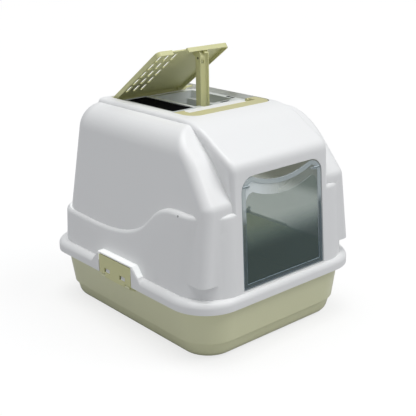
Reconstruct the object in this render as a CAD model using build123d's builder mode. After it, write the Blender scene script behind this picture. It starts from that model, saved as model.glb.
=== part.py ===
from build123d import *
import os
from math import atan2, cos, degrees, radians, sin, sqrt, tan

os.makedirs("parts", exist_ok=True)

# Walls, fits and small sizes
hood_wall = 2.8
pan_wall = 3.0
tray_wall = 2.2
lid_wall = 2.5
fit = 0.3  # between faces of neighbouring pieces
pin_fit = 0.05  # radial clearance of a pin in its hole

# Pan: a lower band, a small step, and an upper band that flares up to the rim
pan_side_inset = 22.2  # of the step from the rim, as the next
pan_end_inset = 20.7
pan_front_corner = 66.0
pan_rear_corner = 58.0
pan_step_height = 34.0
pan_step = 3.5
pan_draft = 7.9
pan_foot_draft = 14.0
pan_foot_round = 20.0
pan_rim_height = 120.85
pan_rim_drop = 10.0
pan_rim_side_gap = 0.8

# Hood rim, the rolled edge that covers the rim of the pan
rim_half_width = 205.4
rim_half_length = 245.0
rim_front_corner = 76.0
rim_rear_corner = 62.0
rim_bottom = 102.0
rim_top = 124.0
rim_round = 12.0

# Hood skirt, below the wave belt
skirt_side_inset = 12.7  # from the rim, at its lower edge, as the next two
skirt_front_inset = 6.3
skirt_rear_inset = 11.8
skirt_front_corner = 74.0
skirt_rear_corner = 60.0
skirt_draft = 3.19
belt_rear_start = 190.0
belt_rear_height = 192.0
belt_dip = (80.0, 189.5)
belt_rise = (-60.0, 221.0)
belt_front_start = -150.0
belt_front_height = 270.0
belt_round = 8.0

# Hood body, above the wave belt
body_side_inset = 11.7  # from the foot of the skirt, as the next, at body_base
body_rear_inset = 13.2
body_front = -290.0  # cut off by the shoulders
body_corner = 58.0
body_base = 200.0
body_draft = 6.5
body_top = 402.0
body_round = 52.0
buried = 50.0  # by which the hidden foot of a form reaches into its neighbour
shoulder_points = ((123.3, 406.0), (67.7, 354.5), (15.2, 284.0))  # behind the foot of the front, and up
shoulder_rounds = (52.0, 150.0, 22.0)
shoulder_edge_round = 18.0

# Hood spine, which carries the recess and runs down the front as the door panel
spine_half_width = 118.0
spine_top = 409.0
spine_rear = 160.0
spine_flat_setback = 151.7  # behind the foot of the front, as the next
spine_crease_setback = 64.7
spine_crease_height = 379.5
spine_bend_height = 350.0
spine_bend_round = 26.0
spine_edge_round = 11.0

# Recess in the spine, and the ledge in it that carries the tray
recess_left = -95.0
recess_right = 108.0
recess_front = -97.0
recess_rear = 153.0
recess_front_round = 24.0
recess_rear_round = 6.0
recess_depth = 12.0
ledge_width = 5.0
ledge_rear_width = 16.0  # under the lid's hinge

# Door opening, in the plane of the front panel
door_half_bottom = 102.0
door_half_top = 98.5
door_bottom = 125.6
door_top = 327.1
door_top_round = 27.0
jamb_depth = 10.0
jamb_wall = 3.0

# Door flap
flap_gap = 2.5
flap_setback = 2.6  # from the front panel to the face of the flap
flap_thickness = 2.2
flap_border = 8.0
flap_border_height = 1.6
flap_dip = 15.0
flap_band = 19.0
flap_band_height = 0.8
flap_axis_drop = 18.0
flap_barrel_radius = 3.6
flap_barrel_length = 14.0
door_pin_radius = 1.7
door_pin_reach = 5.0  # past the edge of the flap

# Clips that hold the hood to the pan, one on each side
clip_centre = 5.0
clip_width = 100.0
clip_height = 37.5
clip_thickness = 3.0
clip_axis_height = 97.5
clip_axis_inset = 3.2  # from the outer face of the plate
clip_barrel_radius = 3.2
clip_barrel_width = 64.0
clip_lug_width = 13.0
clip_lug_radius = 3.2
clip_pin_radius = 1.6
clip_side_gap = 2.0
clip_back_gap = 3.4
window_width = 18.0
window_height = 9.0
window_bottom = 106.0
window_spacing = 49.0
barb_width = 12.5
barb_reach = 1.8  # past the inner face of the plate
barb_slope = 0.222
frame_flare = 26.0
frame_foot = 14.0
frame_depth = 22.0
frame_border = 2.2
frame_round = 3.0

# Tray in the recess
tray_rear = 138.0
bay_left = -78.0
bay_right = -28.0
bay_front = -23.0
bay_rear = 126.0
bay_floor = 392.0
bay_rim_width = 8.0  # at the two long sides of the filter
bay_rim_top = 404.5
bay_slot = (38.0, 5.0)
bay_slot_pitch = 12.0
well_left = -15.0
well_right = 93.0
well_front = 1.0
well_rear = 128.0
well_floor = 355.0
well_step_width = 12.0
well_step_height = 384.0
slot_floor = 380.0
slot_left = 5.0
slot_right = 28.2
slot_front = -35.0
rib_left = -68.0
rib_right = 73.0
rib_front = -59.0
rib_rear = -36.5
rib_top = 406.5
shelf_slot = (22.0, 6.0)
shelf_slot_places = ((64.5, -5.5, 0), (100.5, 18.0, 90))
pocket_corner = 4.0

# Filter pad
pad_gap = 1.0
pad_drop = 0.8  # below the rim of its bay

# Lid, held open in this pose
hinge_y = 147.0
hinge_z = 404.0
lid_open = 35.0
lid_left = -90.0
lid_right = 81.0
lid_front = -32.0
lid_top = 409.0
lid_rim_depth = 9.2
lid_heel = 2.5  # behind the hinge
lid_corner = 9.0
lid_barrel_radius = 4.2
lid_barrel_length = 12.0  # within the lid
lid_barrel_gap = 5.0  # to the left wall of the recess
lid_barrel_reach = 9.0  # past the right edge of the lid
lid_pin_radius = 2.0
notch_left = -55.0
notch_right = -19.5
notch_depth = 5.0
vent_length = 24.0
vent_width = 7.0
vent_columns = 3
vent_rows = 5
vent_column_pitch = 17.5
vent_row_pitch = 30.0
vent_first = (-69.0, 32.0)  # from the middle of the hood, and from the hinge

# Prop arm, hollow in front and behind, which hangs from the lid and stands on the tray
prop_left = 6.0
prop_right = 27.0
prop_depth = 14.0
prop_wall = 2.2
prop_hollow = 4.0  # in its front, with this round in its corners
prop_hollow_round = 3.5
prop_pivot = (-166.0, -13.0)  # from the hinge, with the lid closed
prop_ear_radius = 7.0
prop_ear_rise = 6.0  # of the round of the ears above the pin
prop_foot_drop = 4.0  # below the top of the tray
prop_pin_radius = 2.2
toe_radius = 2.0
toe_length = 4.0
toe_behind_edge = 1.0  # of the shelf that it stands on
lug_radius = 5.5
lug_width = 9.0

# Carry handle
handle_top = 408.6
handle_thickness = 8.2
handle_bar_rear = -66.5
handle_arm_width = 20.0
handle_axis_y = -46.0
handle_pin_radius = 2.0
handle_front_round = 26.0
handle_gap = 0.6  # to the walls of the recess
handle_edge_round = 2.5
handle_hub_length = 4.0
tooth_length = 10.0
tooth_height = 5.0
tooth_pitch = 17.0
tooth_depth = 2.5
tooth_count = 6
pin_reach = 3.5  # into the wall of the recess

recess_middle = (recess_left + recess_right) / 2
recess_half_width = (recess_right - recess_left) / 2
pan_half_width = rim_half_width - pan_side_inset
pan_half_length = rim_half_length - pan_end_inset
skirt_half_width = rim_half_width - skirt_side_inset
skirt_front = skirt_front_inset - rim_half_length
shoulder_top, shoulder_middle, shoulder_foot = [(skirt_front + back, up) for back, up in shoulder_points]
spine_flat_front = skirt_front + spine_flat_setback
spine_crease = (skirt_front + spine_crease_setback, spine_crease_height)
skirt_rear = rim_half_length - skirt_rear_inset
body_half_width = skirt_half_width - body_side_inset
body_rear = skirt_rear - body_rear_inset
clip_bottom = clip_axis_height + clip_barrel_radius + 0.8
clip_top = clip_bottom + clip_height
barb_bottom = window_bottom + 0.5
barb_tip = rim_half_width - clip_thickness + barb_reach
handle_axis_z = handle_top - handle_thickness / 2
front_lean = radians(skirt_draft)
beyond = rim_half_length + 10
front_plane = Plane(
    origin=(0, skirt_front - rim_bottom * tan(front_lean), 0),
    x_dir=(1, 0, 0),
    z_dir=(0, -cos(front_lean), sin(front_lean)),
)


def front_y(height):
    return skirt_front + (height - rim_bottom) * tan(front_lean)


def plan_outline(left, right, front, rear, front_round, rear_round):
    with BuildSketch() as outline:
        with Locations(((left + right) / 2, (front + rear) / 2)):
            Rectangle(right - left, rear - front)
        fillet(outline.vertices().group_by(Axis.Y)[0], front_round)
        fillet(outline.vertices().group_by(Axis.Y)[-1], rear_round)
    return outline.sketch


def rounded_block(half_width, front, rear, front_round, rear_round, bottom, top, draft=0.0):
    outline = plan_outline(-half_width, half_width, front, rear, front_round, rear_round)
    with BuildPart() as block:
        with BuildSketch(Plane.XY.offset(bottom)):
            add(outline)
        extrude(amount=top - bottom, taper=draft)
    return block.part


def body_block(inset):
    # The corner keeps its radius from the foot to the top of this block
    lean = tan(radians(body_draft))
    with BuildPart() as block:
        for height in (body_base - buried, body_top - inset):
            shrink = inset + (height - body_base) * lean
            with BuildSketch(Plane.XY.offset(height)):
                with Locations((0, (body_front + body_rear) / 2)):
                    RectangleRounded(
                        2 * (body_half_width - shrink),
                        body_rear - body_front - 2 * shrink,
                        body_corner - inset,
                    )
        loft(ruled=True)
        fillet(block.faces().sort_by(Axis.Z)[-1].edges(), body_round - inset)
    return block.part


def shoulder_profile(inset):
    # Side outline of the sloped shoulders, in Y and Z
    low = rim_top
    corners = [
        (beyond, low),
        (beyond, shoulder_top[1]),
        shoulder_top,
        shoulder_middle,
        shoulder_foot,
        (front_y(low) + 9, low),
    ]
    with BuildPart() as profile:
        with BuildSketch(Plane.YZ) as outline:
            with BuildLine():
                Polyline(*corners, close=True)
            make_face()
            for corner, radius in zip((shoulder_top, shoulder_middle, shoulder_foot), shoulder_rounds):
                fillet(outline.vertices().sort_by_distance(corner)[0], radius)
            if inset:
                offset(amount=-inset, kind=Kind.INTERSECTION)
        extrude(amount=rim_half_width, both=True)
    return profile.part


def belt_region(inset):
    # Everything below the wave belt
    with BuildPart() as region:
        with BuildSketch(Plane.YZ):
            with BuildLine():
                wave = Spline(
                    (belt_rear_start, belt_rear_height - inset),
                    (belt_dip[0], belt_dip[1] - inset),
                    (belt_rise[0], belt_rise[1] - inset),
                    (belt_front_start, belt_front_height - inset),
                    tangents=((-1, 0), (-1, 0)),
                )
                Polyline(
                    wave @ 1,
                    (-beyond, belt_front_height - inset),
                    (-beyond, rim_bottom - 10),
                    (beyond, rim_bottom - 10),
                    (beyond, belt_rear_height - inset),
                    wave @ 0,
                )
            make_face()
        extrude(amount=rim_half_width, both=True)
    return region.part


def spine_block(inset):
    drop = spine_top - spine_crease[1]
    run = spine_flat_front - spine_crease[0]
    turn = 2 * atan2(drop, run)
    bend = (front_y(spine_bend_height), spine_bend_height)
    with BuildPart() as block:
        with BuildSketch(Plane.YZ) as outline:
            with BuildLine():
                Line((spine_rear, spine_top), (spine_flat_front, spine_top))
                JernArc((spine_flat_front, spine_top), (-1, 0), run / sin(turn), degrees(turn))
                Polyline(
                    spine_crease,
                    bend,
                    (front_y(rim_bottom + 10), rim_bottom + 10),
                    (front_y(rim_bottom + 10) + 30, rim_bottom + 10),
                    (bend[0] + 30, bend[1] - 40),
                    (spine_rear, spine_top - 40),
                    (spine_rear, spine_top),
                )
            make_face()
            fillet(outline.vertices().sort_by_distance(bend)[0], spine_bend_round)
            if inset:
                offset(amount=-inset, kind=Kind.INTERSECTION)
        extrude(amount=spine_half_width - inset, both=True)
        crown = block.faces().filter_by(lambda face: face.normal_at().Z > 0.03)
        sides = [edge for face in crown for edge in face.edges()
                 if abs(abs(edge.center().X) - spine_half_width + inset) < 0.01]
        fillet(sides, spine_edge_round - inset)
    return block.part


def rim_block(inset):
    block = rounded_block(rim_half_width - inset, inset - rim_half_length, rim_half_length - inset,
                          rim_front_corner - inset, rim_rear_corner - inset, rim_bottom - inset, rim_top - inset)
    with BuildPart() as rounded:
        add(block)
        fillet(rounded.faces().sort_by(Axis.Z)[-1].edges(), rim_round - inset)
    return rounded.part


def skirt_block(inset):
    block = rounded_block(skirt_half_width - inset, skirt_front + inset, skirt_rear - inset,
                          skirt_front_corner - inset, skirt_rear_corner - inset, rim_bottom,
                          belt_front_height + belt_round, skirt_draft)
    below_belt = belt_region(inset)
    with BuildPart() as skirt:
        add(block)
        add(below_belt, mode=Mode.INTERSECT)
        wave = skirt.faces().filter_by(lambda face: face.normal_at().Z > 0.2)
        ledge = [edge for face in skirt.faces().filter_by(lambda face: abs(face.normal_at().Z) < 0.2)
                 for edge in face.edges() if any(edge.is_same(other) for top in wave for other in top.edges())]
        fillet(ledge, belt_round - inset)
    return skirt.part


def clip_frame(inset, side):
    # Raised border round a clip, which flares down into the rim
    half = clip_width / 2 + clip_side_gap + frame_border - inset
    top = clip_top + clip_side_gap + frame_border - inset
    low = rim_bottom - inset
    with BuildPart() as frame:
        with BuildSketch(Plane.YZ.offset(side * (rim_half_width - inset))):
            with BuildLine():
                Polyline(
                    (clip_centre - half - frame_flare, low),
                    (clip_centre + half + frame_flare, low),
                    (clip_centre + half + frame_flare, low + frame_foot),
                    (clip_centre + half, top),
                    (clip_centre - half, top),
                    (clip_centre - half - frame_flare, low + frame_foot),
                    close=True,
                )
            make_face()
        extrude(amount=-side * frame_depth)
        face = frame.faces().sort_by(Axis.X)[-1 if side > 0 else 0]
        fillet(face.edges().filter_by(lambda edge: edge.center().Z > low), frame_round - inset)
    return frame.part


def clip_pocket(inset, side):
    # Room behind and round a clip
    face = rim_half_width - clip_thickness - clip_back_gap - inset
    top = clip_top + clip_side_gap + inset
    low = rim_bottom - 10
    with BuildPart() as pocket:
        with BuildSketch(Plane.YZ.offset(side * face)):
            with Locations((clip_centre, (top + low) / 2)):
                Rectangle(clip_width + 2 * (clip_side_gap + inset), top - low)
        extrude(amount=side * frame_depth)
    return pocket.part


def shoulder_block(inset):
    body = body_block(inset)
    profile = shoulder_profile(inset)
    with BuildPart() as block:
        add(body)
        add(profile, mode=Mode.INTERSECT)
        slopes = block.faces().filter_by(
            lambda face: abs(face.normal_at().X) < 0.001 and face.center().Y < shoulder_top[0])
        ridge = [edge for face in slopes for edge in face.edges()
                 if abs(edge.center().X) > spine_half_width / 2 and edge.center().Z > body_base - buried]
        fillet(ridge, shoulder_edge_round - inset)
    return block.part


def hood_form(inset):
    shoulders = shoulder_block(inset)
    skirt = skirt_block(inset)
    spine = spine_block(inset)
    rim = rim_block(inset)
    frames = [clip_frame(inset, side) for side in (-1, 1)]
    pockets = [clip_pocket(inset, side) for side in (-1, 1)]
    with BuildPart() as form:
        add(shoulders)
        add(skirt)
        add(spine)
        add(rim)
        add(frames)
        add(pockets, mode=Mode.SUBTRACT)
    return form.part


def door_outline(bottom_half, top_half, bottom, top, corner):
    # Outline in the plane of the front panel: square at the foot, rounded at the head
    with BuildSketch() as outline:
        with BuildLine():
            Polyline((-bottom_half, bottom), (bottom_half, bottom), (top_half, top), (-top_half, top), close=True)
        make_face()
        fillet(outline.vertices().group_by(Axis.Y)[-1], corner)
    return outline.sketch


def recess_outline(inset, front, rear, front_round, rear_round):
    return plan_outline(recess_left + inset, recess_right - inset, front, rear, front_round, rear_round)


recess = recess_outline(0, recess_front, recess_rear, recess_front_round, recess_rear_round)
recess_wall = recess_outline(-hood_wall, recess_front - hood_wall, recess_rear + hood_wall,
                             recess_front_round + hood_wall, recess_rear_round + hood_wall)
recess_floor = spine_top - recess_depth
below_ledge = recess_outline(ledge_width, recess_front + ledge_width, recess_rear - ledge_rear_width,
                             recess_front_round - ledge_width, recess_rear_round)

door_hole = door_outline(door_half_bottom, door_half_top, door_bottom, door_top, door_top_round)
door_frame = door_outline(door_half_bottom + jamb_wall, door_half_top + jamb_wall, door_bottom - jamb_wall,
                          door_top + jamb_wall, door_top_round + jamb_wall)
flap_axis_height = (door_top - flap_axis_drop) * cos(front_lean)
flap_axis_y = front_y(flap_axis_height) + flap_setback + flap_thickness / 2
flap_edge = (door_half_top - door_top_round - fit
             + sqrt((door_top_round - flap_gap) ** 2 - (door_top_round - flap_axis_drop) ** 2))

clip_face = rim_half_width
clip_axis_x = clip_face - clip_axis_inset
pocket_face = clip_face - clip_thickness - clip_back_gap
window_places = [clip_centre - window_spacing / 2, clip_centre + window_spacing / 2]

# Hood: a shell with the recess, the door opening and its jamb, and the barbs for the clips
outer_form = hood_form(0)
inner_form = hood_form(hood_wall)
with BuildPart() as hood:
    add(outer_form)
    add(inner_form, mode=Mode.SUBTRACT)
    # Walls and ledge of the recess
    with BuildSketch(Plane.XY.offset(recess_floor - hood_wall)):
        add(recess_wall)
    extrude(amount=spine_top - recess_floor)
    with BuildSketch(Plane.XY.offset(recess_floor)):
        add(recess)
    extrude(amount=2 * recess_depth, mode=Mode.SUBTRACT)
    with BuildSketch(Plane.XY.offset(recess_floor - 2 * hood_wall)):
        add(below_ledge)
    extrude(amount=3 * hood_wall, mode=Mode.SUBTRACT)
    # Jamb and door opening
    with BuildSketch(front_plane.offset(-jamb_depth)):
        add(door_frame)
    extrude(amount=jamb_depth - hood_wall / 2)
    with BuildSketch(front_plane.offset(-2 * jamb_depth)):
        add(door_hole)
    extrude(amount=4 * jamb_depth, mode=Mode.SUBTRACT)
    # Holes for the pins of the flap, the lid and the handle
    with Locations((0, flap_axis_y, flap_axis_height)):
        Cylinder(door_pin_radius + pin_fit, 2 * (flap_edge + door_pin_reach), rotation=(0, 90, 0), mode=Mode.SUBTRACT)
    with Locations((recess_middle, hinge_y, hinge_z)):
        Cylinder(lid_pin_radius + pin_fit, 2 * (recess_half_width + pin_reach), rotation=(0, 90, 0), mode=Mode.SUBTRACT)
    with Locations((recess_middle, handle_axis_y, handle_axis_z)):
        Cylinder(handle_pin_radius + pin_fit, 2 * (recess_half_width + pin_reach), rotation=(0, 90, 0),
                 mode=Mode.SUBTRACT)
    # Barbs that the clips snap over
    for side in (-1, 1):
        for place in window_places:
            with BuildSketch(Plane.XZ.offset(-place)):
                with BuildLine():
                    Polyline(
                        (side * (pocket_face - hood_wall / 2), barb_bottom),
                        (side * barb_tip, barb_bottom),
                        (side * pocket_face, barb_bottom + (barb_tip - pocket_face) / barb_slope),
                        (side * (pocket_face - hood_wall / 2), barb_bottom + (barb_tip - pocket_face) / barb_slope),
                        close=True,
                    )
                make_face()
            extrude(amount=barb_width / 2, both=True)
hood.part.label = "hood"
export_step(hood.part, "parts/hood.step")


def pan_band(inset, level, bottom, top, flare):
    # The inset is that at the given level
    shrink = inset + (level - bottom) * tan(radians(flare))
    return rounded_block(pan_half_width - shrink, shrink - pan_half_length, pan_half_length - shrink,
                         pan_front_corner - shrink, pan_rear_corner - shrink, bottom, top, -flare)


def pan_form(inset):
    step = pan_step_height + inset
    foot = pan_band(inset + pan_step, step, inset, step, pan_foot_draft)
    wall = pan_band(inset, step, step, pan_rim_height - pan_wall + 2 * inset, pan_draft)
    with BuildPart() as form:
        add(foot)
        fillet(form.faces().sort_by(Axis.Z)[0].edges(), pan_foot_round - inset)
        add(wall)
    return form.part


def pan_rim(inset):
    # Fills the rim of the hood, and stays clear of the pockets for the clips
    around = hood_wall + pan_rim_side_gap + inset
    block = rounded_block(rim_half_width - around, around - rim_half_length, rim_half_length - around,
                          rim_front_corner - around, rim_rear_corner - around,
                          pan_rim_height - pan_rim_drop - inset, pan_rim_height - inset)
    clear = pocket_face - around
    width = clip_width + 2 * (clip_side_gap + around)
    with BuildPart() as rim:
        add(block)
        fillet(rim.faces().sort_by(Axis.Z)[-1].edges(), rim_round - around)
        for side in (-1, 1):
            with Locations((side * (clear + frame_depth / 2), clip_centre, pan_rim_height)):
                Box(frame_depth, width, 4 * pan_rim_drop, mode=Mode.SUBTRACT)
    return rim.part


# Litter pan, with the lugs that the clips turn on
pan_outside = pan_form(0)
pan_inside = pan_form(pan_wall)
rim_outside = pan_rim(0)
rim_inside = pan_rim(pan_wall)
clip_lug_places = [clip_centre + end * (clip_barrel_width / 2 + fit + clip_lug_width / 2) for end in (-1, 1)]
with BuildPart() as channel:
    add(rim_inside)
    add(pan_outside, mode=Mode.SUBTRACT)
with BuildPart() as litter_pan:
    add(rim_outside)
    add(channel.part, mode=Mode.SUBTRACT)
    add(pan_outside)
    for side in (-1, 1):
        for place in clip_lug_places:
            with BuildSketch(Plane.XZ.offset(-place)):
                with Locations((side * clip_axis_x, clip_axis_height)):
                    Circle(clip_lug_radius)
                with BuildLine():
                    Polyline(
                        (side * clip_axis_x, clip_axis_height + clip_lug_radius),
                        (side * (pan_half_width + pan_step), clip_axis_height + clip_lug_radius),
                        (side * (pan_half_width + pan_step), clip_axis_height - 4 * clip_lug_radius),
                        (side * clip_axis_x, clip_axis_height - clip_lug_radius),
                        close=True,
                    )
                make_face()
            extrude(amount=clip_lug_width / 2, both=True)
    add(pan_inside, mode=Mode.SUBTRACT)
    with Locations(*[(side * clip_axis_x, clip_centre, clip_axis_height) for side in (-1, 1)]):
        Cylinder(clip_pin_radius + pin_fit, clip_barrel_width + 4 * clip_lug_width, rotation=(90, 0, 0),
                 mode=Mode.SUBTRACT)
litter_pan.part.label = "litter_pan"
export_step(litter_pan.part, "parts/litter_pan.step")


# Clips and their pins
def clip_piece(side):
    with BuildPart() as clip:
        with Locations((side * (clip_face - clip_thickness / 2), clip_centre, (clip_bottom + clip_top) / 2)):
            Box(clip_thickness, clip_width, clip_height)
        fillet(clip.edges().filter_by(Axis.X), clip_thickness)
        fillet(clip.faces().sort_by(Axis.X)[-1 if side > 0 else 0].edges(), clip_thickness / 4)
        with Locations((side * clip_axis_x, clip_centre, clip_axis_height)):
            Cylinder(clip_barrel_radius, clip_barrel_width, rotation=(90, 0, 0))
        with Locations((side * (clip_face - clip_thickness / 2), clip_centre, (clip_axis_height + clip_bottom) / 2)):
            Box(clip_thickness, clip_barrel_width, clip_bottom - clip_axis_height + clip_thickness)
        with Locations(*[(side * clip_face, place, window_bottom + window_height / 2) for place in window_places]):
            Box(4 * clip_thickness, window_width, window_height, mode=Mode.SUBTRACT)
        with Locations((side * clip_axis_x, clip_centre, clip_axis_height)):
            Cylinder(clip_pin_radius + pin_fit, clip_width, rotation=(90, 0, 0), mode=Mode.SUBTRACT)
    return clip.part


def clip_pin_piece(side):
    with BuildPart() as pin:
        with Locations((side * clip_axis_x, clip_centre, clip_axis_height)):
            Cylinder(clip_pin_radius, clip_barrel_width + 2 * (fit + clip_lug_width - 1), rotation=(90, 0, 0))
    return pin.part


left_clip = clip_piece(-1)
left_clip.label = "left_clip"
export_step(left_clip, "parts/left_clip.step")
right_clip = clip_piece(1)
right_clip.label = "right_clip"
export_step(right_clip, "parts/right_clip.step")
left_clip_pin = clip_pin_piece(-1)
left_clip_pin.label = "left_clip_pin"
export_step(left_clip_pin, "parts/left_clip_pin.step")
right_clip_pin = clip_pin_piece(1)
right_clip_pin.label = "right_clip_pin"
export_step(right_clip_pin, "parts/right_clip_pin.step")

# Top tray: a flange on the ledge of the recess, with the filter bay, the well, the slot for the prop arm and a rib
tray_bottom = recess_floor + fit
tray_top = tray_bottom + tray_wall
tray_outline = recess_outline(fit, recess_front + fit, tray_rear, recess_front_round - fit, recess_rear_round)
pockets = (
    (bay_left, bay_right, bay_front, bay_rear, bay_floor),
    (well_left, well_right - well_step_width, well_front, well_rear, well_floor),
    (well_left, well_right, well_front, well_rear, well_step_height),
    (slot_left, slot_right, slot_front, well_front + 2 * pocket_corner, slot_floor),
)
with BuildPart() as top_tray:
    with BuildSketch(Plane.XY.offset(tray_bottom)):
        add(tray_outline)
    extrude(amount=tray_wall)
    # Raised rim round the bay
    with BuildSketch(Plane.XY.offset(tray_bottom)):
        with Locations(((bay_left + bay_right) / 2, (bay_front + bay_rear) / 2)):
            RectangleRounded(bay_right - bay_left + 2 * bay_rim_width, bay_rear - bay_front + 2 * tray_wall,
                             pocket_corner)
    extrude(amount=bay_rim_top - tray_bottom)
    for left, right, front, rear, floor in pockets:
        with BuildSketch(Plane.XY.offset(floor - tray_wall)):
            with Locations(((left + right) / 2, (front + rear) / 2)):
                RectangleRounded(right - left + 2 * tray_wall, rear - front + 2 * tray_wall, pocket_corner + tray_wall)
        extrude(amount=tray_bottom + tray_wall / 2 - floor + tray_wall)
    for left, right, front, rear, floor in pockets:
        with BuildSketch(Plane.XY.offset(floor)):
            with Locations(((left + right) / 2, (front + rear) / 2)):
                RectangleRounded(right - left, rear - front, pocket_corner)
        extrude(amount=recess_depth * 4, mode=Mode.SUBTRACT)
    # Rib in front of the pockets
    with BuildSketch(Plane.XY.offset(tray_top - tray_wall / 2)):
        with Locations(((rib_left + rib_right) / 2, (rib_front + rib_rear) / 2)):
            RectangleRounded(rib_right - rib_left, rib_rear - rib_front, 3)
    extrude(amount=rib_top - tray_top + tray_wall / 2)
    fillet(top_tray.faces().sort_by(Axis.Z)[-1].edges(), 2)
    # Air slots under the filter, and the slots in the flange
    slot_count = int((bay_rear - bay_front - bay_slot_pitch) / bay_slot_pitch)
    with BuildSketch(Plane.XY.offset(bay_floor - 2 * tray_wall)):
        with Locations(((bay_left + bay_right) / 2, (bay_front + bay_rear) / 2)):
            with GridLocations(1, bay_slot_pitch, 1, slot_count):
                SlotOverall(*bay_slot)
    extrude(amount=3 * tray_wall, mode=Mode.SUBTRACT)
    for x, y, turn in shelf_slot_places:
        with Locations(Location((x, y, tray_top), (0, 0, turn))):
            Box(*shelf_slot, 4 * tray_wall, mode=Mode.SUBTRACT)
top_tray.part.label = "top_tray"
export_step(top_tray.part, "parts/top_tray.step")

# Filter pad, loose in its bay
with BuildPart() as filter_pad:
    with BuildSketch(Plane.XY.offset(bay_floor + fit)):
        with Locations(((bay_left + bay_right) / 2, (bay_front + bay_rear) / 2)):
            RectangleRounded(bay_right - bay_left - 2 * pad_gap, bay_rear - bay_front - 2 * pad_gap, pocket_corner)
    extrude(amount=bay_rim_top - pad_drop - bay_floor - fit)
filter_pad.part.label = "filter_pad"
export_step(filter_pad.part, "parts/filter_pad.step")

# Lid: a plate with a rim, hinged at the rear of the recess and held open
lid_angle = radians(lid_open)
lid_plane = Plane(origin=(0, hinge_y, hinge_z), x_dir=(1, 0, 0), z_dir=(0, sin(lid_angle), cos(lid_angle)))
lid_face = lid_top - hinge_z
lid_length = hinge_y - lid_front
lid_outline = plan_outline(lid_left, lid_right, -lid_length, lid_heel, lid_corner, lid_barrel_radius / 2)
lid_cavity = plan_outline(lid_left + lid_wall, lid_right - lid_wall, lid_wall - lid_length, 0,
                          lid_corner - lid_wall, lid_wall)
lid_barrels = ((recess_left + lid_barrel_gap, lid_left + lid_barrel_length),
               (lid_right - lid_barrel_length, lid_right + lid_barrel_reach))
prop_middle = (prop_left + prop_right) / 2
vent_places = [(vent_first[0] + column * vent_column_pitch, -vent_first[1] - row * vent_row_pitch)
               for column in range(vent_columns) for row in range(vent_rows)]
with BuildPart() as lid:
    with BuildSketch(lid_plane.offset(lid_face - lid_rim_depth)):
        add(lid_outline)
    extrude(amount=lid_rim_depth)
    fillet(lid.faces().sort_by(Axis(lid_plane.origin, lid_plane.z_dir))[-1].edges(), lid_wall / 2)
    with BuildSketch(lid_plane.offset(lid_face - lid_rim_depth)):
        add(lid_cavity)
    extrude(amount=lid_rim_depth - lid_wall, mode=Mode.SUBTRACT)
    # Barrels of the hinge
    for left, right in lid_barrels:
        with BuildSketch(lid_plane.offset(lid_face - lid_rim_depth)):
            with Locations(((left + right) / 2, 0)):
                Rectangle(right - left, 2 * lid_heel)
        extrude(amount=lid_rim_depth - lid_wall / 2)
        with Locations(((left + right) / 2, hinge_y, hinge_z)):
            Cylinder(lid_barrel_radius, right - left, rotation=(0, 90, 0))
    # Lug that the prop arm hangs from
    with BuildSketch(Plane.YZ.offset(prop_left + prop_wall + fit)) as lug:
        with BuildLine():
            ends = [lid_plane.from_local_coords(Vector(0, prop_pivot[0] + reach, height))
                    for reach, height in ((-lug_radius, prop_pivot[1]), (lug_radius, prop_pivot[1]),
                                          (2 * lug_radius, lid_face - lid_wall / 2),
                                          (-lug_radius, lid_face - lid_wall / 2))]
            Polyline(*[(end.Y, end.Z) for end in ends], close=True)
        make_face()
        pivot = lid_plane.from_local_coords(Vector(0, *prop_pivot))
        with Locations((pivot.Y, pivot.Z)):
            Circle(lug_radius)
    extrude(amount=lug_width)
    # Vents over the filter, and the notch in the front lip
    with BuildSketch(lid_plane):
        with Locations(*vent_places):
            SlotOverall(vent_length, vent_width, rotation=90)
        with Locations(((notch_left + notch_right) / 2, -lid_length)):
            Rectangle(notch_right - notch_left, 2 * notch_depth)
    extrude(amount=2 * lid_rim_depth, both=True, mode=Mode.SUBTRACT)
    with Locations((recess_middle, hinge_y, hinge_z)):
        Cylinder(lid_pin_radius + pin_fit, 2 * recess_half_width, rotation=(0, 90, 0), mode=Mode.SUBTRACT)
    with Locations((prop_middle, pivot.Y, pivot.Z)):
        Cylinder(prop_pin_radius + pin_fit, 2 * prop_right, rotation=(0, 90, 0), mode=Mode.SUBTRACT)
lid.part.label = "lid"
export_step(lid.part, "parts/lid.step")


def cross_pin(radius, left, right, y, z):
    with BuildPart() as pin:
        with Locations(((left + right) / 2, y, z)):
            Cylinder(radius, right - left, rotation=(0, 90, 0))
    return pin.part


left_wall_end = recess_left - pin_reach
right_wall_end = recess_right + pin_reach
lid_pin_left = cross_pin(lid_pin_radius, left_wall_end, lid_left + lid_barrel_length, hinge_y, hinge_z)
lid_pin_left.label = "lid_pin_left"
export_step(lid_pin_left, "parts/lid_pin_left.step")
lid_pin_right = cross_pin(lid_pin_radius, lid_right - lid_barrel_length, right_wall_end, hinge_y, hinge_z)
lid_pin_right.label = "lid_pin_right"
export_step(lid_pin_right, "parts/lid_pin_right.step")

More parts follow.
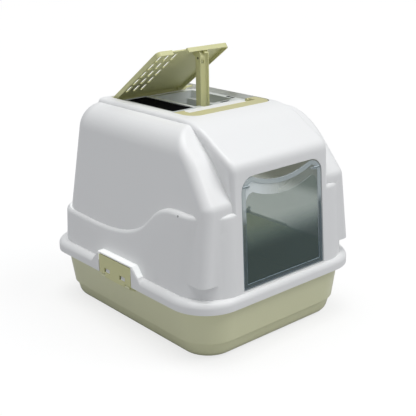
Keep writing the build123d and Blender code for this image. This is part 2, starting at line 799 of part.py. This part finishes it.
# Prop arm: a web between two hollows, with a round head over its pin and a toe that stands on the tray
toe_centre = (well_front + toe_behind_edge, tray_top + fit + toe_radius)
prop_foot = tray_top - prop_foot_drop
prop_head = pivot.Z + prop_ear_rise
with BuildPart() as prop_arm:
    with BuildSketch(Plane.YZ.offset(prop_left)):
        with Locations((pivot.Y, prop_head)):
            Circle(prop_ear_radius)
        with Locations((pivot.Y, (prop_head + prop_foot) / 2)):
            Rectangle(prop_depth, prop_head - prop_foot)
    extrude(amount=prop_right - prop_left)
    with BuildSketch(Plane.XY.offset(prop_foot - prop_wall)) as hollows:
        with Locations((prop_middle, pivot.Y + prop_hollow - prop_depth)):
            Rectangle(prop_right - prop_left - 2 * prop_wall, prop_depth)
        fillet(hollows.vertices().group_by(Axis.Y)[-1], prop_hollow_round)
        with Locations((prop_middle, pivot.Y + prop_hollow + prop_wall)):
            Rectangle(prop_right - prop_left - 2 * prop_wall, prop_depth)
    extrude(amount=prop_head - prop_foot + 2 * prop_wall, mode=Mode.SUBTRACT)
    # Room for the lug of the lid
    lug_room = lug_width + 2 * fit
    with Locations((prop_left + prop_wall + lug_room / 2, pivot.Y, prop_head)):
        Box(lug_room, 2 * prop_depth, 2 * (lug_radius + prop_ear_rise + 2 * lid_wall), mode=Mode.SUBTRACT)
    with Locations((prop_right + toe_length / 2 - prop_wall / 2, *toe_centre)):
        Cylinder(toe_radius, toe_length + prop_wall, rotation=(0, 90, 0))
    with Locations((prop_middle, pivot.Y, pivot.Z)):
        Cylinder(prop_pin_radius + pin_fit, 2 * prop_right, rotation=(0, 90, 0), mode=Mode.SUBTRACT)
prop_arm.part.label = "prop_arm"
export_step(prop_arm.part, "parts/prop_arm.step")
prop_pin = cross_pin(prop_pin_radius, prop_left, prop_right, pivot.Y, pivot.Z)
prop_pin.label = "prop_pin"
export_step(prop_pin, "parts/prop_pin.step")

# Carry handle, folded flat in front of the lid
handle_front = recess_front + handle_gap
handle_half_width = recess_half_width - handle_gap
arm_inner = handle_half_width - handle_arm_width
hub_inner = arm_inner - handle_hub_length
arm_end = handle_axis_y + handle_thickness / 2
with BuildPart() as carry_handle:
    with BuildSketch(Plane.XY.offset(handle_top - handle_thickness)):
        with Locations((recess_middle, (handle_front + arm_end) / 2)):
            Rectangle(2 * handle_half_width, arm_end - handle_front)
        with Locations((recess_middle, (handle_bar_rear + arm_end) / 2)):
            Rectangle(2 * arm_inner, arm_end - handle_bar_rear, mode=Mode.SUBTRACT)
    extrude(amount=handle_thickness)
    fillet(carry_handle.edges().filter_by(Axis.Z).group_by(Axis.Y)[0], handle_front_round)
    fillet(carry_handle.edges().filter_by(Axis.X).group_by(Axis.Y)[-1], handle_thickness / 2 - pin_fit)
    fillet(carry_handle.edges().filter_by(Axis.X).group_by(Axis.Y)[0], handle_edge_round)
    hub_reach = (arm_inner + hub_inner) / 2
    with Locations(*[(recess_middle + side * hub_reach, handle_axis_y, handle_axis_z) for side in (-1, 1)]):
        Cylinder(handle_thickness / 2 - 2 * pin_fit, handle_hub_length, rotation=(0, 90, 0))
    # Teeth on the rear edge of the bar
    with Locations((recess_middle, handle_bar_rear, handle_axis_z)):
        with GridLocations(tooth_pitch, 1, tooth_count, 1):
            Box(tooth_length, 2 * tooth_depth, tooth_height)
    with Locations((recess_middle, handle_axis_y, handle_axis_z)):
        Cylinder(handle_pin_radius + pin_fit, 2 * recess_half_width, rotation=(0, 90, 0), mode=Mode.SUBTRACT)
carry_handle.part.label = "carry_handle"
export_step(carry_handle.part, "parts/carry_handle.step")
handle_pin_left = cross_pin(handle_pin_radius, left_wall_end, recess_middle - hub_inner, handle_axis_y,
                            handle_axis_z)
handle_pin_left.label = "handle_pin_left"
export_step(handle_pin_left, "parts/handle_pin_left.step")
handle_pin_right = cross_pin(handle_pin_radius, recess_middle + hub_inner, right_wall_end, handle_axis_y,
                             handle_axis_z)
handle_pin_right.label = "handle_pin_right"
export_step(handle_pin_right, "parts/handle_pin_right.step")


def flap_outline(inset):
    # The top edge dips in the middle
    corner = door_top_round - flap_gap - inset
    top = door_top - flap_gap - inset
    blank = door_outline(door_half_bottom - flap_gap - inset, door_half_top - flap_gap - inset,
                         door_bottom + flap_gap + inset, top, corner)
    ends = door_half_top - flap_gap - inset - corner
    with BuildSketch() as outline:
        add(blank)
        with BuildLine():
            dip = ThreePointArc((-ends, top), (0, top - flap_dip), (ends, top))
            Line(dip @ 1, dip @ 0)
        make_face(mode=Mode.SUBTRACT)
    return outline.sketch


# Door flap: a plate with a border and a band, hinged near its top corners
flap_sheet = flap_outline(0)
flap_inner = flap_outline(flap_border)
with BuildPart() as door_flap:
    with BuildSketch(front_plane.offset(-flap_setback - flap_thickness)):
        add(flap_sheet)
    extrude(amount=flap_thickness)
    with BuildSketch(front_plane.offset(-flap_setback - flap_thickness / 2)):
        add(flap_sheet)
        add(flap_inner, mode=Mode.SUBTRACT)
    extrude(amount=flap_thickness / 2 + flap_border_height)
    with BuildSketch(front_plane.offset(-flap_setback - flap_thickness / 2)):
        add(flap_inner)
        with Locations((0, -flap_band)):
            add(flap_inner, mode=Mode.SUBTRACT)
    extrude(amount=flap_thickness / 2 + flap_band_height)
    with Locations(*[(side * (flap_edge - flap_barrel_length / 2), flap_axis_y, flap_axis_height) for side in (-1, 1)]):
        Cylinder(flap_barrel_radius, flap_barrel_length, rotation=(0, 90, 0))
        Cylinder(door_pin_radius + pin_fit, 2 * flap_barrel_length, rotation=(0, 90, 0), mode=Mode.SUBTRACT)
door_flap.part.label = "door_flap"
export_step(door_flap.part, "parts/door_flap.step")
flap_pin_inner = flap_edge - flap_barrel_length
flap_pin_outer = flap_edge + door_pin_reach
door_pin_left = cross_pin(door_pin_radius, -flap_pin_outer, -flap_pin_inner, flap_axis_y, flap_axis_height)
door_pin_left.label = "door_pin_left"
export_step(door_pin_left, "parts/door_pin_left.step")
door_pin_right = cross_pin(door_pin_radius, flap_pin_inner, flap_pin_outer, flap_axis_y, flap_axis_height)
door_pin_right.label = "door_pin_right"
export_step(door_pin_right, "parts/door_pin_right.step")
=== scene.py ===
from math import cos, radians, sin

import bpy
from mathutils import Matrix, Vector


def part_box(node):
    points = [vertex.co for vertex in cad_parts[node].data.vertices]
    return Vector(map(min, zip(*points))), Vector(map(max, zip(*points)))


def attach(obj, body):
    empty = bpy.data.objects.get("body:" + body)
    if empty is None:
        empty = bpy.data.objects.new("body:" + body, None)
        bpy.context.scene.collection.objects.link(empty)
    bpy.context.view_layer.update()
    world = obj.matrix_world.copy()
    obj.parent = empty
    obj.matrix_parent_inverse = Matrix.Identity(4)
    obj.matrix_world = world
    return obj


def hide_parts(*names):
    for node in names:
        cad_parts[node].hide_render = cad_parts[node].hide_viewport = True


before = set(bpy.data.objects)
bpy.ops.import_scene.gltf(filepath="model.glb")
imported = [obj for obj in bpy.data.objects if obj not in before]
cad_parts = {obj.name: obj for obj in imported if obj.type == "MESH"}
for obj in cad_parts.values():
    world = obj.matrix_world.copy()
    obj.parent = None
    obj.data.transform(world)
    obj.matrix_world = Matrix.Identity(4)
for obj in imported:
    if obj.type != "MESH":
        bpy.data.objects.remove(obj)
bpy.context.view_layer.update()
print("frame loaded:", len(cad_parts), "nodes")

cleanUp = {
    "mergeDistance": 0.00001,
    "flatAngle": 0.3,  # between faces that count as one, in degrees
    "edgeAngle": 40,  # from which an edge is rounded
    "smoothAngle": 30,
    "normalWeight": 90,  # of large faces, in the shading of rounded pieces
}


def pickNone():
    if bpy.context.object and bpy.context.object.mode != "OBJECT":
        bpy.ops.object.mode_set(mode="OBJECT")
    bpy.ops.object.select_all(action="DESELECT")


def pickOnly(piece):
    pickNone()
    piece.select_set(True)
    bpy.context.view_layer.objects.active = piece


def editAll(piece):
    pickOnly(piece)
    bpy.ops.object.mode_set(mode="EDIT")
    bpy.ops.mesh.select_all(action="SELECT")


def applyModifier(piece, kind, **settings):
    pickOnly(piece)
    modifier = piece.modifiers.new(kind.title(), kind)
    for name, value in settings.items():
        setattr(modifier, name, value)
    bpy.ops.object.modifier_apply(modifier=modifier.name)


# A merged, smooth copy of a CAD node, which then stands for it
def mergedCopy(node, pieceName, body, edgeWidth=0.0, edgeSteps=2):
    piece = bpy.data.objects.new(pieceName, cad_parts[node].data.copy())
    bpy.context.scene.collection.objects.link(piece)
    piece.data.materials.clear()
    editAll(piece)
    bpy.ops.mesh.customdata_custom_splitnormals_clear()
    bpy.ops.mesh.remove_doubles(threshold=cleanUp["mergeDistance"])
    bpy.ops.mesh.dissolve_limited(angle_limit=radians(cleanUp["flatAngle"]))
    bpy.ops.object.mode_set(mode="OBJECT")
    if edgeWidth:
        applyModifier(piece, "BEVEL", width=edgeWidth, segments=edgeSteps, limit_method="ANGLE",
                      angle_limit=radians(cleanUp["edgeAngle"]), use_clamp_overlap=True, harden_normals=False)
    pickOnly(piece)
    bpy.ops.object.shade_smooth_by_angle(angle=radians(cleanUp["smoothAngle"]))
    if edgeWidth:
        applyModifier(piece, "WEIGHTED_NORMAL", weight=cleanUp["normalWeight"], keep_sharp=True)
    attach(piece, body)
    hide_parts(node)
    return piece


# A wrapped socket for shader maths: an expression on it adds its Math nodes
class Wire:
    def __init__(self, tree, socket):
        self.tree = tree
        self.socket = socket

    def maths(self, operation, other=None, swapped=False):
        node = self.tree.nodes.new("ShaderNodeMath")
        node.operation = operation
        pair = [self, other] if other is not None else [self]
        for place, value in enumerate(reversed(pair) if swapped else pair):
            if isinstance(value, Wire):
                self.tree.links.new(value.socket, node.inputs[place])
            else:
                node.inputs[place].default_value = value
        return Wire(self.tree, node.outputs[0])

    def __add__(self, other):
        return self.maths("ADD", other)

    def __radd__(self, other):
        return self.maths("ADD", other, swapped=True)

    def __sub__(self, other):
        return self.maths("SUBTRACT", other)

    def __rsub__(self, other):
        return self.maths("SUBTRACT", other, swapped=True)

    def __mul__(self, other):
        return self.maths("MULTIPLY", other)

    def __rmul__(self, other):
        return self.maths("MULTIPLY", other, swapped=True)

    def __gt__(self, other):
        return self.maths("GREATER_THAN", other)

    def __lt__(self, other):
        return self.maths("LESS_THAN", other)


# The nodes of a material or of the world
class Recipe:
    def __init__(self, owner, shaderName="Principled BSDF"):
        owner.use_nodes = True
        self.owner = owner
        self.tree = owner.node_tree
        self.shader = self.tree.nodes[shaderName]
        self.coords = self.make("ShaderNodeTexCoord")
        self.place = self.coords.outputs["Object"]

    # One node of any type: its settings first, then the values or links of its sockets
    def make(self, kind, settings=None, **sockets):
        node = self.tree.nodes.new(kind)
        for name, value in (settings or {}).items():
            setattr(node, name, value)
        for name, value in sockets.items():
            self.connect(node.inputs[name.replace("_", " ")], value)
        return node

    def connect(self, socket, value):
        if isinstance(value, Wire):
            self.tree.links.new(value.socket, socket)
        elif isinstance(value, bpy.types.NodeSocket):
            self.tree.links.new(value, socket)
        else:
            socket.default_value = value

    def wire(self, socket):
        return Wire(self.tree, socket)

    def noise(self, scale, detail=2.0, stretch=(1, 1, 1)):
        mapping = self.make("ShaderNodeMapping", Vector=self.place, Scale=stretch)
        node = self.make("ShaderNodeTexNoise", Vector=mapping.outputs[0], Scale=scale, Detail=detail)
        return self.wire(node.outputs["Fac"])

    def blendColours(self, share, first, second):
        node = self.make("ShaderNodeMix", {"data_type": "RGBA"})
        self.connect(node.inputs[0], share)
        self.connect(node.inputs[6], (*first, 1) if isinstance(first, tuple) else first)
        self.connect(node.inputs[7], (*second, 1) if isinstance(second, tuple) else second)
        return node.outputs[2]

    # A share that runs smoothly from one value to another along a coordinate
    def ramp(self, coordinate, span, ends=(0.0, 1.0)):
        node = self.make("ShaderNodeMapRange", {"interpolation_type": "SMOOTHSTEP"}, Value=coordinate,
                         From_Min=span[0], From_Max=span[1], To_Min=ends[0], To_Max=ends[1])
        return self.wire(node.outputs[0])

    def vectorMaths(self, operation, first, second):
        node = self.make("ShaderNodeVectorMath", {"operation": operation})
        self.connect(node.inputs[0], first)
        self.connect(node.inputs[1], second)
        return node

    def bump(self, height, strength, distance, under=None):
        node = self.make("ShaderNodeBump", Height=height, Strength=strength, Distance=distance)
        if under is not None:
            self.connect(node.inputs["Normal"], under)
        return node.outputs[0]

    def finish(self, **sockets):
        for name, value in sockets.items():
            self.connect(self.shader.inputs[name.replace("_", " ")], value)
        return self.owner


# Painted light: the faces inside the cabin glow by emission, most near the rim, standing in for daylight that
# comes through the thin white walls
def paintedCabinGlow(recipe, look):
    parts = recipe.make("ShaderNodeSeparateXYZ", Vector=recipe.place)
    inward = recipe.vectorMaths("SUBTRACT", look["glowMiddle"], recipe.place)
    facing = recipe.vectorMaths("DOT_PRODUCT", inward.outputs[0], recipe.coords.outputs["Normal"])
    y, z = (recipe.wire(parts.outputs[axis]) for axis in "YZ")
    front, foot, roof = look["glowWithin"]
    inside = (z > foot) * (z < roof) * (y > front) * (recipe.wire(facing.outputs["Value"]) > 0)
    fade = recipe.ramp(parts.outputs["Z"], look["glowSpan"], (1.0, look["glowAbove"]))
    return recipe.blendColours(inside * fade, (0, 0, 0), look["glowColour"])


# Injection-moulded plastic: faint cloudiness, broad sink marks and a fine satin grain
def mouldedPlastic(name, look):
    recipe = Recipe(bpy.data.materials.new(name))
    cloud = recipe.noise(look["cloudScale"], 3)
    colour = recipe.blendColours(cloud, look["colour"], look["cloudColour"])
    # painted glow inside the cabin, where the look has one
    if "glowColour" in look:
        recipe.finish(Emission_Color=paintedCabinGlow(recipe, look), Emission_Strength=look["glowStrength"])
    if "mark" in look:
        fromMark = recipe.vectorMaths("DISTANCE", recipe.place, look["mark"])
        spot = recipe.wire(fromMark.outputs["Value"]) < look["markRadius"]
        colour = recipe.blendColours(spot, colour, look["markColour"])
    grain = recipe.noise(look["grainScale"], 2)
    sink = recipe.bump(recipe.noise(look["sinkScale"], 1), look["sinkStrength"], look["sinkDepth"])
    normal = recipe.bump(grain, look["grainStrength"], look["grainDepth"], sink)
    roughness = look["roughness"] + (recipe.noise(look["wearScale"], 2) - 0.5) * look["wear"]
    return recipe.finish(Base_Color=colour, Roughness=roughness, Normal=normal, Coat_Weight=look["coat"],
                         Coat_Roughness=look["coatRoughness"])


whitePlastic = {
    "colour": (0.875, 0.875, 0.87),
    "cloudColour": (0.85, 0.855, 0.855),
    "cloudScale": 6.0,
    "grainScale": 1400.0,
    "grainStrength": 0.12,
    "grainDepth": 0.0002,
    "sinkScale": 9.0,
    "sinkStrength": 0.1,
    "sinkDepth": 0.002,
    "roughness": 0.36,
    "wearScale": 24.0,
    "wear": 0.1,  # spread of the roughness
    "coat": 0.0,
    "coatRoughness": 0.12,
}
hoodPlastic = dict(
    whitePlastic,
    # painted glow inside the cabin: its middle, bounds, fade and colour
    glowMiddle=(0, 0, 0.24),
    glowWithin=(-0.221, 0.126, 0.3935),  # front, foot and roof of the cabin
    glowSpan=(0.205, 0.235),
    glowAbove=0.05,
    glowColour=(0.95, 1.0, 0.98),
    glowStrength=0.3,
    mark=(-0.1837, -0.162, 0.2646),  # where the mould was fed
    markRadius=0.0021,
    markColour=(0.4, 0.4, 0.4),
)
sagePlastic = dict(whitePlastic, colour=(0.7, 0.69, 0.365), cloudColour=(0.67, 0.665, 0.345), roughness=0.38)
handleSage = dict(sagePlastic, colour=(0.6, 0.565, 0.31), cloudColour=(0.575, 0.545, 0.295))
# The pan's sage is painted lighter than the lid's, as painted light standing in for the light the floor
# bounces onto it
panPaintedBounce = dict(sagePlastic, colour=(0.8, 0.8, 0.525), cloudColour=(0.775, 0.78, 0.505), roughness=0.32,
                  coat=0.25)
# The tray is greyer than the rib, partly its own greyer tone and partly painted shade under the lid
trayGreyPaintedShade = dict(whitePlastic, colour=(0.72, 0.75, 0.74), cloudColour=(0.68, 0.71, 0.71), roughness=0.3)
darkPinAndSlotShade = dict(whitePlastic, colour=(0.03, 0.035, 0.03), cloudColour=(0.02, 0.024, 0.02), roughness=0.45)


# Smoky see-through sheet, with a painted reflection that makes it paler towards its top. A part that leans
# catches the light from above through a bump, and its painted highlight fades towards the right
def smokyPlastic(name, look):
    recipe = Recipe(bpy.data.materials.new(name))
    haze = recipe.noise(look["hazeScale"], 2)
    parts = recipe.make("ShaderNodeSeparateXYZ", Vector=recipe.place)
    paintedReflection = recipe.ramp(parts.outputs["Z"], look["paintedReflectionSpan"])
    low = recipe.blendColours(haze, look["colour"], look["hazeColour"])
    colour = recipe.blendColours(paintedReflection, low, look["paintedReflectionColour"])
    ripple = recipe.bump(recipe.noise(look["rippleScale"], 1), look["rippleStrength"], look["rippleDepth"])
    alpha = look["alpha"] + paintedReflection * (look["paintedReflectionAlpha"] - look["alpha"]) + (haze - 0.5) * look["alphaSpread"]
    if "lean" in look:
        ripple = recipe.bump(recipe.wire(parts.outputs["Z"]) * -look["lean"], 1.0, 1.0, ripple)
        # the painted highlight fades towards the right
        alpha = alpha * recipe.ramp(parts.outputs["X"], look["highlightFadeSpan"], (1.0, look["highlightFadeLow"]))
    return recipe.finish(Base_Color=colour, Roughness=look["roughness"], Normal=ripple, Alpha=alpha)


smokyFlap = {
    "colour": (0.028, 0.056, 0.053),
    "hazeColour": (0.045, 0.08, 0.076),
    "hazeScale": 5.0,
    "paintedReflectionSpan": (0.185, 0.25),
    "paintedReflectionColour": (0.22, 0.32, 0.31),
    "paintedReflectionAlpha": 0.27,
    "rippleScale": 11.0,
    "rippleStrength": 0.08,
    "rippleDepth": 0.002,
    "roughness": 0.1,
    "alpha": 0.78,
    "alphaSpread": 0.08,
}
# Painted glint: the step's sides and bevels are pale blue, standing in for the light they reflect
flapStepPaintedGlint = dict(
    smokyFlap,
    colour=(0.4, 0.5, 0.58),
    hazeColour=(0.5, 0.6, 0.68),
    paintedReflectionColour=(0.7, 0.78, 0.82),
    alpha=0.8,
    paintedReflectionAlpha=0.8,
)
flapBorder = dict(
    smokyFlap,
    colour=(0.08, 0.12, 0.14),
    hazeColour=(0.11, 0.155, 0.18),
    paintedReflectionSpan=(0.238, 0.262),
    paintedReflectionColour=(0.55, 0.63, 0.66),
    alpha=0.6,
    paintedReflectionAlpha=0.65,
)
# Painted highlight: the crest is near white, and fades towards the right
flapCrestPaintedHighlight = dict(
    smokyFlap,
    colour=(0.8, 0.88, 0.9),
    hazeColour=(0.85, 0.92, 0.93),
    paintedReflectionColour=(0.85, 0.92, 0.93),
    alpha=0.93,
    paintedReflectionAlpha=0.93,
    lean=1.3,
    highlightFadeSpan=(-0.07, 0.015),
    highlightFadeLow=0.12,
)


# Needled felt: short fibres over a mottled base
def needledFelt(name, look):
    recipe = Recipe(bpy.data.materials.new(name))
    fibre = recipe.noise(look["fibreScale"], 4, look["fibreStretch"])
    mottle = recipe.noise(look["mottleScale"], 2)
    blend = fibre * (1 - look["mottleShare"]) + mottle * look["mottleShare"]
    colour = recipe.blendColours(blend, look["colour"], look["fibreColour"])
    return recipe.finish(Base_Color=colour, Roughness=look["roughness"], Specular_IOR_Level=look["gloss"],
                         Normal=recipe.bump(fibre, look["fibreStrength"], look["fibreDepth"]))


carbonFelt = {
    "colour": (0.001, 0.001, 0.0015),
    "fibreColour": (0.003, 0.003, 0.0035),
    "fibreScale": 700.0,
    "fibreStretch": (1, 0.35, 1),
    "fibreStrength": 0.6,
    "fibreDepth": 0.0008,
    "mottleScale": 60.0,
    "mottleShare": 0.3,
    "roughness": 0.95,
    "gloss": 0.04,
}

hoodMaterial = mouldedPlastic("hoodWhite", hoodPlastic)
sageMaterial = mouldedPlastic("sagePlastic", sagePlastic)
handleMaterial = mouldedPlastic("handleSage", handleSage)
panPaintedBounceMaterial = mouldedPlastic("panSagePaintedBounce", panPaintedBounce)
trayPaintedShadeMaterial = mouldedPlastic("trayGreyPaintedShade", trayGreyPaintedShade)
ribMaterial = mouldedPlastic("ribWhite", whitePlastic)
darkPinAndSlotShadeMaterial = mouldedPlastic("pinDarkAndSlotShade", darkPinAndSlotShade)
flapMaterial = smokyPlastic("flapSmoke", smokyFlap)
flapStepGlintMaterial = smokyPlastic("flapStepPaintedGlint", flapStepPaintedGlint)
flapBorderMaterial = smokyPlastic("flapBorder", flapBorder)
flapCrestHighlightMaterial = smokyPlastic("flapCrestPaintedHighlight", flapCrestPaintedHighlight)
feltMaterial = needledFelt("carbonFelt", carbonFelt)
print("materials made")

# Pieces that keep their CAD shape, with the radius of their edges
shells = (
    # node, piece, body, slot, material, edge
    ("hood", "hoodShell", "hood", "hood_plastic", hoodMaterial, 0.0),
    ("litter_pan", "panShell", "pan", "pan_plastic", panPaintedBounceMaterial, 0.0),
    ("left_clip", "leftClip", "left_clip", "clip_plastic", sageMaterial, 0.0006),
    ("right_clip", "rightClip", "right_clip", "clip_plastic", sageMaterial, 0.0006),
    ("top_tray", "topTray", "hood", "tray_plastic", trayPaintedShadeMaterial, 0.0005),
    ("lid", "lidPanel", "lid", "lid_plastic", sageMaterial, 0.0005),
    ("prop_arm", "propArm", "prop", "prop_plastic", sageMaterial, 0.0005),
    ("carry_handle", "carryHandle", "handle", "handle_plastic", handleMaterial, 0.0008),
    ("left_clip_pin", "leftClipPin", "pan", "pin_plastic", sageMaterial, 0.0),
    ("right_clip_pin", "rightClipPin", "pan", "pin_plastic", sageMaterial, 0.0),
    ("lid_pin_left", "lidPinLeft", "hood", "pin_plastic", sageMaterial, 0.0),
    ("lid_pin_right", "lidPinRight", "hood", "pin_plastic", sageMaterial, 0.0),
    ("prop_pin", "propPin", "lid", "pin_plastic", darkPinAndSlotShadeMaterial, 0.0),
    ("handle_pin_left", "handlePinLeft", "hood", "pin_plastic", sageMaterial, 0.0),
    ("handle_pin_right", "handlePinRight", "hood", "pin_plastic", sageMaterial, 0.0),
    ("door_pin_left", "doorPinLeft", "hood", "pin_plastic", flapMaterial, 0.0),
    ("door_pin_right", "doorPinRight", "hood", "pin_plastic", flapMaterial, 0.0),
)
for node, pieceName, body, slotName, material, edge in shells:
    piece = mergedCopy(node, pieceName, body, edge)
    piece.data.materials.append(material)
print("shells made:", len(shells))

trayLook = {
    "ribRear": -0.036,
    "ribFoot": 0.4,
    "slots": (  # middle and half size
        ((0.0645, -0.0055), (0.0112, 0.0032)),
        ((0.1005, 0.018), (0.0032, 0.0112)),
    ),
    "steep": 0.5,  # upward part of a wall's normal, at most
}


# The rib is whiter than the tray, whose greyer colour is partly painted shade, and the walls of the two slots
# in the ledge are painted dark as shade
def colourTrayAndPaintSlotShade():
    tray = bpy.data.objects["topTray"]
    for material in (ribMaterial, darkPinAndSlotShadeMaterial):
        tray.data.materials.append(material)
    for face in tray.data.polygons:
        x, y, z = face.center
        if y < trayLook["ribRear"] and z > trayLook["ribFoot"]:
            face.material_index = 1
        for (slotX, slotY), (halfX, halfY) in trayLook["slots"]:
            within = abs(x - slotX) < halfX and abs(y - slotY) < halfY
            # painted shade on the slot walls
            if within and abs(face.normal.z) < trayLook["steep"]:
                face.material_index = 2


colourTrayAndPaintSlotShade()
print("tray coloured")

flapLook = {
    "edge": 0.0011,
    "edgeSteps": 3,
    "lean": 3.19,  # of the front panel, in degrees
    "panelFront": 0.24401,  # how far the front panel's plane lies from the origin
    "borderDepth": 0.001,  # of the border's face behind that plane, as the next
    "crestDepth": 0.0018,
    "depthSlack": 0.0002,
    "flat": 0.97,  # part of a face's normal along the panel's, from which it isn't a side
}


def doorFlap():
    piece = mergedCopy("door_flap", "doorFlap", "door", flapLook["edge"],
                       flapLook["edgeSteps"])
    for material in (flapMaterial, flapStepGlintMaterial, flapBorderMaterial, flapCrestHighlightMaterial):
        piece.data.materials.append(material)
    lean = radians(flapLook["lean"])
    front = Vector((0, -cos(lean), sin(lean)))
    for face in piece.data.polygons:
        tilt = face.normal.dot(front)
        depth = flapLook["panelFront"] - face.center.dot(front)
        # side faces get the painted glint, the crest the painted highlight
        if abs(tilt) < flapLook["flat"]:
            face.material_index = 1
        elif tilt > 0 and abs(depth - flapLook["borderDepth"]) < flapLook["depthSlack"]:
            face.material_index = 2
        elif tilt > 0 and abs(depth - flapLook["crestDepth"]) < flapLook["depthSlack"]:
            face.material_index = 3


doorFlap()
print("door flap made")

padLook = {
    "cells": 10,
    "edge": 0.003,
    "edgeSteps": 3,
    "unevenness": 0.0006,
    "cloudSize": 0.012,
    "sunken": 0.9,  # the share of the unevenness that goes inwards
    "fill": 0.9,
}


def filterPad():
    low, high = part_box("filter_pad")
    middle = (low + high) / 2
    size = high - low
    pickNone()
    bpy.ops.mesh.primitive_cube_add(size=1, location=middle, scale=size)
    piece = bpy.context.object
    piece.name = "filterPad"
    bpy.ops.object.transform_apply(location=True, rotation=True, scale=True)
    editAll(piece)
    bpy.ops.mesh.subdivide(number_cuts=padLook["cells"])
    bpy.ops.object.mode_set(mode="OBJECT")
    applyModifier(piece, "BEVEL", width=padLook["edge"], segments=padLook["edgeSteps"], limit_method="ANGLE",
                  angle_limit=radians(cleanUp["edgeAngle"]))
    applyModifier(piece, "SUBSURF", levels=1, render_levels=1)
    clouds = bpy.data.textures.new("feltClouds", "CLOUDS")
    clouds.noise_scale = padLook["cloudSize"]
    applyModifier(piece, "DISPLACE", texture=clouds, texture_coords="GLOBAL", strength=padLook["unevenness"],
                  mid_level=padLook["sunken"])
    bpy.ops.object.shade_smooth()
    piece.data.materials.append(feltMaterial)
    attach(piece, "hood")
    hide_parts("filter_pad")


filterPad()
print("filter pad made")

stageLook = {
    "floorSize": 12.0,
    "floorDrop": 0.0003,
    "floorRoughness": 0.9,
    "floorSeen": (0.96, 0.96, 0.96),
    "floorBounce": (0.47, 0.47, 0.48),
    "worldColour": (0.93, 0.96, 1.0),
    "worldStrength": 0.32,
    "suns": (
        # name, strength, from, angle in degrees
        ("keyLight", 1.0, (0.38, -0.5, 0.78), 30),
        ("topLight", 1.7, (-0.08, 0, 1), 40),
    ),
    "sunDistance": 3,
    "shadowShare": 0.25,
}


def studioFloor():
    pickNone()
    bpy.ops.mesh.primitive_plane_add(size=stageLook["floorSize"], location=(0, 0, -stageLook["floorDrop"]))
    floor = bpy.context.object
    floor.name = "studioFloor"
    recipe = Recipe(bpy.data.materials.new("floorWhite"))
    path = recipe.make("ShaderNodeLightPath")
    seen = recipe.wire(path.outputs["Is Camera Ray"])
    colour = recipe.blendColours(seen, stageLook["floorBounce"], stageLook["floorSeen"])
    recipe.finish(Base_Color=colour, Roughness=stageLook["floorRoughness"])
    glow = recipe.make("ShaderNodeEmission", Color=(1, 1, 1, 1), Strength=1.0)
    mix = recipe.make("ShaderNodeMixShader")
    recipe.connect(mix.inputs[0], seen * (1 - stageLook["shadowShare"]))
    recipe.connect(mix.inputs[1], recipe.shader.outputs[0])
    recipe.connect(mix.inputs[2], glow.outputs[0])
    recipe.connect(recipe.tree.nodes["Material Output"].inputs["Surface"], mix.outputs[0])
    floor.data.materials.append(recipe.owner)


def studioLight():
    world = bpy.data.worlds.new("studio")
    bpy.context.scene.world = world
    recipe = Recipe(world, "Background")
    recipe.finish(Color=(*stageLook["worldColour"], 1), Strength=stageLook["worldStrength"])
    white = recipe.make("ShaderNodeBackground", Color=(1, 1, 1, 1))
    path = recipe.make("ShaderNodeLightPath")
    seen = recipe.wire(path.outputs["Is Camera Ray"]) + recipe.wire(path.outputs["Is Transmission Ray"])
    mix = recipe.make("ShaderNodeMixShader")
    recipe.connect(mix.inputs[0], seen.maths("MINIMUM", 1.0))
    recipe.connect(mix.inputs[1], recipe.shader.outputs[0])
    recipe.connect(mix.inputs[2], white.outputs[0])
    recipe.connect(recipe.tree.nodes["World Output"].inputs["Surface"], mix.outputs[0])
    for name, strength, comesFrom, angle in stageLook["suns"]:
        pickNone()
        bpy.ops.object.light_add(type="SUN", location=Vector(comesFrom) * stageLook["sunDistance"])
        sun = bpy.context.object
        sun.name = name
        sun.data.energy = strength
        sun.data.angle = radians(angle)
        sun.rotation_euler = Vector(comesFrom).to_track_quat("Z", "Y").to_euler()


cameraLook = {
    "azimuth": -39.94,
    "elevation": 19.03,
    "roll": -1.12,
    "target": (0, 0, 0.196),
    "distance": 1.6323,
    "focalPixels": 826.67,
    "framePixels": 416,
    "shift": (8.5, -0.51),  # in pixels
    "sensor": 36,
    "farthest": 50,
}


def studioCamera():
    azimuth, elevation = radians(cameraLook["azimuth"]), radians(cameraLook["elevation"])
    back = Vector((sin(azimuth) * cos(elevation), -cos(azimuth) * cos(elevation), sin(elevation)))
    pickNone()
    bpy.ops.object.camera_add(location=Vector(cameraLook["target"]) + back * cameraLook["distance"])
    camera = bpy.context.object
    camera.name = "photoCamera"
    turn = back.to_track_quat("Z", "Y").to_matrix() @ Matrix.Rotation(radians(cameraLook["roll"]), 3, "Z")
    camera.rotation_euler = turn.to_euler()
    camera.data.sensor_width = cameraLook["sensor"]
    camera.data.lens = cameraLook["sensor"] * cameraLook["focalPixels"] / cameraLook["framePixels"]
    camera.data.shift_x = cameraLook["shift"][0] / cameraLook["framePixels"]
    camera.data.shift_y = cameraLook["shift"][1] / cameraLook["framePixels"]
    camera.data.clip_end = cameraLook["farthest"]
    bpy.context.scene.camera = camera


studioFloor()
studioLight()
studioCamera()
bpy.context.scene.view_settings.view_transform = "Standard"
print("stage ready")
